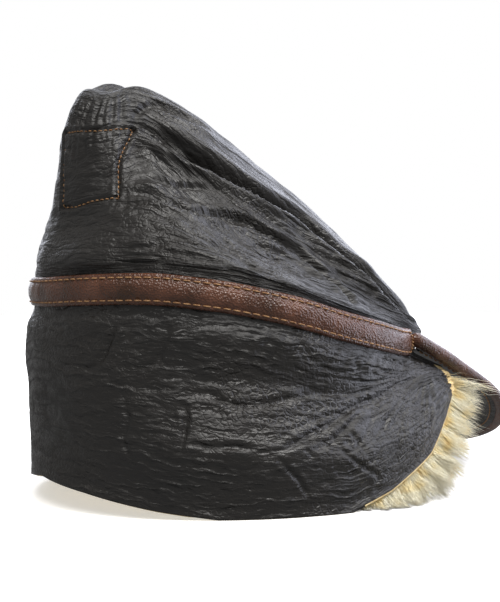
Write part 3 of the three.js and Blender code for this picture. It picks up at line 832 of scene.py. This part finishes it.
# %% Band
BAND_COLUMNS = 460
BAND_PROFILE = [
    # from the middle up to the edge, and out, as shares of half the width and the rise
    (0.14, 1.0), (0.36, 0.93), (0.56, 0.76), (0.68, 0.6), (0.76, 0.62), (0.88, 0.6),
    (0.97, 0.42), (1.0, 0.12),
]
profile_up, profile_out = np.array([(-u, o) for u, o in BAND_PROFILE[::-1]] + BAND_PROFILE).T


def band_point(bearing, up, out):
    """Point on the strip: up from -1 to 1 across it, out in millimetres beyond the hide."""
    x, y = oval(bearing, out - SEAM_INSET)
    return np.stack(np.broadcast_arrays(x, y, seam(bearing) + up * BAND_HALF_WIDTH), -1)


band_bearings = np.linspace(-BAND_END, BAND_END, BAND_COLUMNS)
profile = zip(profile_up, profile_out)
band_grid = np.stack([band_point(band_bearings, u, o * BAND_RISE) for u, o in profile])
ripple = creases(band_grid * [1, 1, 0.35], 5.0, 11, 5)
inner = np.clip(1 - np.abs(profile_up) / 0.66, 0, 1)[:, None] ** 0.5
relief = -0.5 * ripple * inner + 0.25 * swell(band_grid, 14, 12) * inner
band_grid = band_grid + outward_normals(band_grid, wrap=False) * relief[..., None]
band = skin_from_grid("band_strip", band_grid)
settle(band, BROWN_LEATHER, "brown_leather", "band")

# %% [markdown]
# ## Stitches
# Each stitch is one short sausage of thread that dips into the leather at both ends. They are
# joined in one mesh, because separate objects would be slow and one curve would not dip.

# %% Stitches
THREAD_RADIUS = 0.42
THREAD_RINGS, THREAD_SIDES = 7, 6


def stitch_row(name, path, outward, pitch=5.0, gap=0.9, lift=0.25, radius=THREAD_RADIUS):
    """Stitches along a path of points in millimetres, with the outward direction at each."""
    lengths = walked(path)
    count = int(lengths[-1] / pitch)
    span = np.linspace(gap / pitch / 2, 1 - gap / pitch / 2, THREAD_RINGS)
    arch = np.sin(np.linspace(0, np.pi, THREAD_RINGS)) ** 0.6
    points, faces = [], []
    for k in range(count):
        steps = (k + span) * lengths[-1] / count
        normal = unit(read_path(steps, lengths, outward))
        rise = (lift + radius) * (arch * 1.3 - 0.6)
        spine = read_path(steps, lengths, path) + normal * rise[:, None]
        aside = np.cross(unit(np.gradient(spine, axis=0)), normal)
        start = len(points)
        for s in range(THREAD_RINGS):
            for turn in np.linspace(0, 2 * np.pi, THREAD_SIDES, endpoint=False):
                around = aside[s] * np.cos(turn) + normal[s] * np.sin(turn)
                points.append(spine[s] + radius * around)
        faces += grid_faces(THREAD_RINGS, THREAD_SIDES, True, start)
        faces.append([start + t for t in reversed(range(THREAD_SIDES))])
        faces.append([len(points) - THREAD_SIDES + t for t in range(THREAD_SIDES)])
    settle(make_mesh(name, np.array(points), faces), THREAD, "brown_leather")


fine_bearings = np.linspace(-BAND_END + 1, BAND_END - 1, 900)
fine_turn = np.radians(fine_bearings)
straight_out = [-np.cos(fine_turn) * HEAD_SIDE, -np.sin(fine_turn) * HEAD_BACK, 0 * fine_turn]
straight_out = np.stack(straight_out, -1)
for name, up in (("band_stitches_upper", 0.72), ("band_stitches_lower", -0.72)):
    stitch_row(name, band_point(fine_bearings, up, 0.6 * BAND_RISE), straight_out)

# %% [markdown]
# A bar tack of close stitches, worked across the strip, locks each end of the band.

# %% Bar tacks
TACK_UP = np.linspace(-0.8, 0.8, 30)
for mirror, side_name in ((1, "near"), (-1, "far")):
    for k, bearing in enumerate((BAND_END - 0.9, BAND_END - 1.5)):
        rise = np.interp(TACK_UP, profile_up, profile_out) * BAND_RISE
        tack = band_point(np.full_like(TACK_UP, mirror * bearing), TACK_UP, rise + 0.1)
        tack_out = np.repeat(straight_out[[-1 if mirror > 0 else 0]], len(TACK_UP), 0)
        stitch_row(f"band_tack_{side_name}_{k}", tack, tack_out, pitch=1.9, gap=0.3, lift=0.2)

# %% [markdown]
# The square on the crown is sewn through hide and wool, so its thread lies at the bottom of the
# valley that it makes. The stitches follow the same paths as those valleys.

# %% Stitches of the square
for name, path in SQUARE.items():
    line = on_grid(crown_grid, *crown_axes, path, 60)[0]
    facing = on_grid(outward_normals(crown_grid), *crown_axes, path, 60)[0]
    stitch_row("square_stitches_" + name, line, facing, pitch=2.9, gap=0.7, radius=0.36)

# %% [markdown]
# ## Fleece
# The wool is the other side of the same hide. Inside it is a lumpy clipped pile, so a skin with
# swelling does. Past the front edges single locks stand out, which are made after it.

# %% Fleece inside the crown
HEAD_CENTRE = np.array([0.0, 0.0, 104.0])


def lumps(points, seed):
    """Heights of the clipped pile, in mm."""
    return (1.6 * swell(points, 9, seed) + 0.9 * swell(points, 4, seed + 1))[..., None]


pile_bearings = -180 + 360 * (np.arange(240) + 0.5) / 240
pile_form = through(crown_controls(pile_bearings), np.linspace(0, 0.985, 90))
pile_form -= outward_normals(pile_form) * (LEATHER + 0.6)
inward = HEAD_CENTRE - pile_form
reach = norm(inward, axis=-1, keepdims=True)
crown_pile = pile_form + inward / reach * (FLEECE + lumps(pile_form, 21))
crown_pile[..., 2] = np.maximum(crown_pile[..., 2], pile_form[:1, :, 2])
crown_pile = np.concatenate([pile_form[:1], crown_pile])
crown_lining = skin_from_grid("crown_wool", crown_pile, wrap=True, flip=True, closed=True)
settle(crown_lining, FLEECE_WOOL, "fleece", "crown_fleece")

# %% Fleece inside the flaps
FLEECE_END = 147.3
wool_bearings = np.linspace(-FLEECE_END, FLEECE_END, 300)
wool_shares = np.linspace(0, 1, 60)
wool_hem = flap_points(wool_bearings, wool_shares, LEATHER + 0.4)[-1:]
wool_hem[..., 2] += 1.2
wool_back = flap_points(wool_bearings, wool_shares, LEATHER + FLEECE)
wool_in = outward_normals(wool_back, wrap=False, centre=(0, 0, 50))
wool_back -= wool_in * lumps(wool_back, 23)
wool_back[-1, :, 2] += 2.0
wool_back[..., 2] = np.maximum(wool_back[..., 2], 1.2)
flap_lining = skin_from_grid("flap_wool", np.concatenate([wool_back, wool_hem]), flip=True)
settle(flap_lining, FLEECE_WOOL, "fleece", "flap_fleece")

# %% [markdown]
# At the hem and the front edges the wool is not clipped and spills out past the cut hide. It is
# made of strands: each is a thin tapered prism, and the strands of one lock lean together at
# their tips. Hair curves would not travel with the part, so the strands are a mesh. Each also
# keeps how far a point is from its root, which the finish uses to make the tips paler.

# %% Strands of wool
STRAND_RINGS = np.array([0, 0.25, 0.5, 0.75])
STRAND_RADIUS = 0.18


def strands(name, roots, tips, bend, rng):
    """Thin three-sided prisms from roots to tips that bow along bend and wave a little."""
    count = len(roots)
    run = tips - roots
    length = norm(run, axis=1, keepdims=True)
    side = unit(np.cross(run, rng.normal(size=(count, 3))))
    other = np.cross(run / length, side)
    phase = rng.uniform(0, 2 * np.pi, (count, 1))
    rings = []
    for t in STRAND_RINGS:
        sway = 0.05 * length * np.sin(2 * np.pi * 1.4 * t + phase) * (t > 0)
        middle = roots + run * t + bend * (4 * t * (1 - t)) + side * sway
        for turn in (0, 2.1, 4.2):
            around = side * math.cos(turn) + other * math.sin(turn)
            rings.append(middle + STRAND_RADIUS * (1 - 0.75 * t) * around)
    points = np.stack(rings + [tips], 1)
    points[..., 2] = np.maximum(points[..., 2], 0.2)
    walls = np.array(grid_faces(len(STRAND_RINGS), 3, True))
    last = points.shape[1] - 4
    caps = np.array([[last + k, last + (k + 1) % 3, last + 3] for k in range(3)])
    starts = np.arange(count)[:, None, None] * points.shape[1]
    faces = (walls + starts).reshape(-1, 4).tolist() + (caps + starts).reshape(-1, 3).tolist()
    tuft = make_mesh(name, points.reshape(-1, 3), faces)
    from_root = np.append(np.repeat(STRAND_RINGS, 3), 1.0) * 1000
    hide_map(tuft, np.tile(np.stack([0 * from_root, from_root], -1), (count, 1)))
    settle(tuft, FLEECE_WOOL, "fleece")


# %% [markdown]
# A strand starts a little inside the wool, and its lock is the square of hide that it stands
# in. Lock and strand both have a say in where the tip goes. Tips are drawn in towards the
# head where they would stand out too far to the side.

# %% Fleece fringe
FRINGE_PATH = [
    (93, 1.0), (98, 1.0), (104, 1.0), (111, 1.0), (118, 1.0), (124, 1.0), (130, 1.0),
    (134, 1.0), (136, 0.96), (136, 0.8), (136, 0.65), (136, 0.5), (136, 0.38), (136, 0.26),
]
FRINGE_LENGTH = [3, 12, 24, 30, 31, 29, 27, 26, 27, 29, 31, 30, 22, 11]
FRINGE_SPOTS = 240
LOCK_WIDTH, LOCK_DEPTH, LOCK_LAYERS = 3.4, 3.6, 8
LOCK_SHARE = 0.34
WIDEST_TIP = 119


def fringe(name, mirror, count, seed):
    rng = np.random.default_rng(seed)
    path = [(mirror * b, s) for b, s in FRINGE_PATH]
    edge = on_grid(flap_form, *flap_axes, path, FRINGE_SPOTS)[0]
    facing = on_grid(flap_normals, *flap_axes, path, FRINGE_SPOTS)[0]
    along = np.gradient(edge, axis=0)
    away = unit(mirror * np.cross(along, facing))
    at = np.linspace(0, 1, FRINGE_SPOTS), np.linspace(0, 1, len(FRINGE_LENGTH))
    lengths = np.interp(*at, FRINGE_LENGTH)
    chance = (lengths + 2) * norm(along, axis=1)
    spots = rng.choice(FRINGE_SPOTS, count, p=chance / chance.sum())
    depth = 3.0 + 10.0 * rng.uniform(0, 1, count) ** 1.5
    lengths_along = walked(edge)
    jitter = rng.normal(size=(2, count)) * 0.7
    lock = (np.maximum(lengths_along[spots] + jitter[0], 0.0) / LOCK_WIDTH).astype(int)
    lock *= LOCK_LAYERS
    lock += (np.maximum(depth + jitter[1], 0.0) / LOCK_DEPTH).astype(int)
    draw = rng.normal(size=(lock.max() + 1, 4))
    lock_walk = (lock // LOCK_LAYERS + 0.5) * LOCK_WIDTH
    middle = np.interp(lock_walk, lengths_along, np.arange(FRINGE_SPOTS)).astype(int)
    lock_depth = ((lock % LOCK_LAYERS + 0.5) * LOCK_DEPTH)[:, None]
    setback = rng.uniform(0, 2, count)[:, None]
    roots = edge[spots] - facing[spots] * depth[:, None] - away[spots] * setback
    centre = edge[middle] - facing[middle] * lock_depth
    outward = 0.85 - 0.05 * lock_depth
    lean = 0.75 * away[middle] + facing[middle] * outward + [0, 0, -0.12]
    lean += draw[lock][:, :3] * 0.2
    lean[:, 2] = np.minimum(lean[:, 2], -0.25)
    lean = unit(lean)
    uneven = rng.uniform(0.6, 1.05, count) ** 0.8
    reach = (lengths[middle] * (0.9 + 0.1 * draw[lock][:, 3]) * uneven)[:, None]
    own_tip = roots + lean * (reach + setback)
    lock_tip = centre + lean * reach
    tips = own_tip * (1 - LOCK_SHARE) + lock_tip * LOCK_SHARE
    tips += rng.normal(size=(count, 3)) * 1.3
    tips += rng.normal(size=(count, 3)) * (rng.uniform(size=(count, 1)) > 0.9) * 2.5
    beyond = np.maximum(np.abs(tips[:, 1]) - WIDEST_TIP, 0)
    tips[:, 1] -= np.sign(tips[:, 1]) * beyond * 0.7
    bend = away[spots] * 1.5 + facing[spots] * -1.5 + rng.normal(size=(count, 3)) * 0.9
    strands(name, roots, tips, bend, rng)


fringe("flap_fringe_near", 1, 9000, 5)
fringe("flap_fringe_far", -1, 9000, 6)

# %% [markdown]
# ## Visor
# Brown leather above, and below a dark leather finish that is painted shade under the visor, and a
# rolled brown edge. Its root follows the forehead and its free edge is a drawn curve, so the leaf
# between them is a ruled grid.

# %% Visor
VISOR_EDGE = [
    (73, -86, 88.5), (112, -85, 70.5), (150, -82, 50), (176, -60, 30), (188, -30, 18), (192, 0, 13),
]
ROOT_BEARINGS = [130, 140, 150, 160, 170, 180]
VISOR_ARCH = 3.0
VISOR_COLUMNS, VISOR_ROWS = 320, 70
LEAF_HALF = 2.4


def curve_through(points, count):
    """Evenly spaced points on a smooth curve through points, mirrored to the far side."""
    points = np.array(points, float)
    whole = np.concatenate([points, points[-2::-1] * [1, -1, 1]])
    chord = walked(whole, 0.5)
    path = hermite(chord, whole, np.gradient(whole, chord, axis=0), np.linspace(0, chord[-1], 2000))
    length = walked(path)
    return read_path(np.linspace(0, length[-1], count), length, path)


edge_path = curve_through(VISOR_EDGE, VISOR_COLUMNS)
root_points = [(*oval(b, -0.9), seam(b) - 0.5) for b in ROOT_BEARINGS]
root_path = curve_through(root_points, VISOR_COLUMNS)
margin = int(0.04 * VISOR_COLUMNS)
inside = slice(margin, VISOR_COLUMNS - margin)
step = np.linspace(0, 1, VISOR_COLUMNS)[inside]
share = np.linspace(0, 1, VISOR_ROWS)[:, None, None]
leaf = root_path[None, inside] * (1 - share) + edge_path[None, inside] * share
leaf[..., 2] += VISOR_ARCH * (np.sin(np.pi * share[..., 0]) * np.sin(np.pi * step))
leaf_up = normals_of(leaf, False)
leaf_up *= np.sign(leaf_up[..., 2].mean())
leaf_top = leaf + leaf_up * (LEAF_HALF + 0.5 * swell(leaf, 30, 31)[..., None])
leaf_under = leaf - leaf_up * (LEAF_HALF - 0.4 * swell(leaf, 26, 32)[..., None])
visor_top = skin_from_grid("visor_upper_leather", leaf_top)
settle(visor_top, BROWN_LEATHER, "brown_leather", "visor_top")
visor_under = skin_from_grid("visor_lower_leather", leaf_under, flip=True)
# The dark leather finish on the underside is painted shade under the visor.
settle(visor_under, DARK_LEATHER, "dark_leather", "visor_underside")

# %% [markdown]
# The roll along the edge is a tube. Its ends are rounded off, and it is a little thicker just
# after them, where the strip is gathered under the band.

# %% Rolled edge of the visor
BINDING_RADIUS, END_EXTRA = 3.4, 0.9
along = unit(np.gradient(edge_path, axis=0))
aside = unit(np.cross(along, [0, 0, 1]))
above = np.cross(aside, along)
from_end = np.minimum(np.arange(VISOR_COLUMNS), np.arange(VISOR_COLUMNS)[::-1])
thick = BINDING_RADIUS + END_EXTRA * ramp(from_end, 55, -30)
rounded = (thick * np.sqrt(1 - (1 - ramp(from_end, 0, 5)) ** 2))[:, None]
turns = np.linspace(0, 2 * np.pi, 25)[:-1]
roll = [edge_path + rounded * (aside * np.cos(turn) + above * np.sin(turn)) for turn in turns]
binding = skin_from_grid("visor_rolled_edge", np.stack(roll + [roll[0]]))
settle(binding, BROWN_LEATHER, "brown_leather", "visor_binding")

# %% [markdown]
# The roll is a strip folded round a cord. Its brown tail lies flat on the leaf and its dark one
# below it, whose dark finish is painted shade under the visor, and a single row of thread goes
# through all the layers.

# %% Tails of the rolled edge
leaf_width = norm(edge_path[inside] - root_path[inside], axis=1)
TAIL = [(2.0, 0.1), (3.2, 0.9), (5.0, 1.0), (7.2, 0.9), (7.9, 0.7), (8.0, 0.0)]
STITCHES_IN = 5.8


def on_leaf(width, rise):
    """Points on the leaf a width in from its edge and a rise from its middle layer, in mm."""
    row = np.clip(1 - width / leaf_width, 0, 1) * (VISOR_ROWS - 1)
    i = np.minimum(row.astype(int), VISOR_ROWS - 2)
    j = np.arange(len(row))
    part = (row - i)[:, None]
    return leaf[i, j] * (1 - part) + leaf[i + 1, j] * part + leaf_up[i, j] * rise


SIDES = (
    ("upper", 1, BROWN_LEATHER, "brown_leather"),
    # The lower tail takes the dark leather finish as painted shade under the visor.
    ("lower", -1, DARK_LEATHER, "dark_leather"),
)
for side_name, sign, finish, slot in SIDES:
    tail = np.stack([on_leaf(width, sign * (LEAF_HALF + 0.1 + rise)) for width, rise in TAIL])
    strip = skin_from_grid("visor_edge_tail_" + side_name, tail, flip=sign > 0)
    settle(strip, finish, slot)
    line = on_leaf(STITCHES_IN, sign * (LEAF_HALF + 1.1))
    stitch_row("visor_stitches_" + side_name, line, leaf_up[-1] * sign, pitch=4.2)

# %% [markdown]
# ## Stage
# A pale floor and soft daylight. The wide lamp above draws the rolls of the crown, and a small
# one beside it puts the highlights on the band. A low one from the right draws the grey sheen
# on the flap, and one from behind keeps the shaded fleece light. The floor glows a little, so
# that it is white up to the horizon, and only the camera sees that glow.

# %% Floor
FLOOR_HALF = 6000.0
corners = ((-1, -1), (1, -1), (1, 1), (-1, 1))
floor_points = np.array([(x * FLOOR_HALF, y * FLOOR_HALF, -0.2) for x, y in corners])
floor = make_mesh("floor", floor_points, [[0, 1, 2, 3]])
paper, tree, surface = new_finish("pale_paper")
plug(tree, surface, {
    "Base Color": hex_colour("fbfbfb"),
    "Roughness": 1.0,
    "Specular IOR Level": 0.0,
    "Emission Color": hex_colour("ffffff"),
    "Emission Strength": 0.4,
})
floor.data.materials.append(paper)
floor.visible_glossy = False
floor.visible_diffuse = False
print("floor", FLOOR_HALF * 2 / 1000, "m wide")

# %% Lamps
LAMPS = {
    # direction it shines from, strength, width in degrees, colour
    "daylight_above": ((-0.05, -0.45, 0.88), 3.0, 62, "fffdfa"),
    "daylight_window": ((0.12, -0.6, 0.79), 0.8, 12, "fffdfa"),
    "daylight_right": ((0.93, -0.14, 0.33), 3.2, 80, "e9edff"),
    "daylight_behind": ((0.55, 0.7, 0.42), 2.4, 70, "eef2ff"),
}
for name, (towards, energy, width, colour) in LAMPS.items():
    data = bpy.data.lights.new(name, "SUN")
    data.energy = energy
    data.angle = math.radians(width)
    data.color = hex_colour(colour)[:3]
    light = bpy.data.objects.new(name, data)
    light.rotation_mode = "QUATERNION"
    light.rotation_quaternion = Vector(towards).to_track_quat("Z", "Y")
    bpy.context.scene.collection.objects.link(light)
    print(name, energy)

# %% [markdown]
# The background is white for the camera and dim for everything else.

# %% Background
WORLD_LIGHT = 0.36
world = bpy.data.worlds.new("soft_room")
world.use_nodes = True
tree = world.node_tree
seen = add_node(tree, "ShaderNodeLightPath").outputs["Is Camera Ray"]
dimmed = {0: seen, 1: 1 - WORLD_LIGHT, 2: WORLD_LIGHT}
strength = add_node(tree, "ShaderNodeMath", dimmed, operation="MULTIPLY_ADD").outputs[0]
plug(tree, tree.nodes["Background"], {"Color": (1.0, 1.0, 1.0, 1.0), "Strength": strength})
bpy.context.scene.world = world
bpy.context.scene.view_settings.view_transform = "Standard"
print("world light", WORLD_LIGHT)
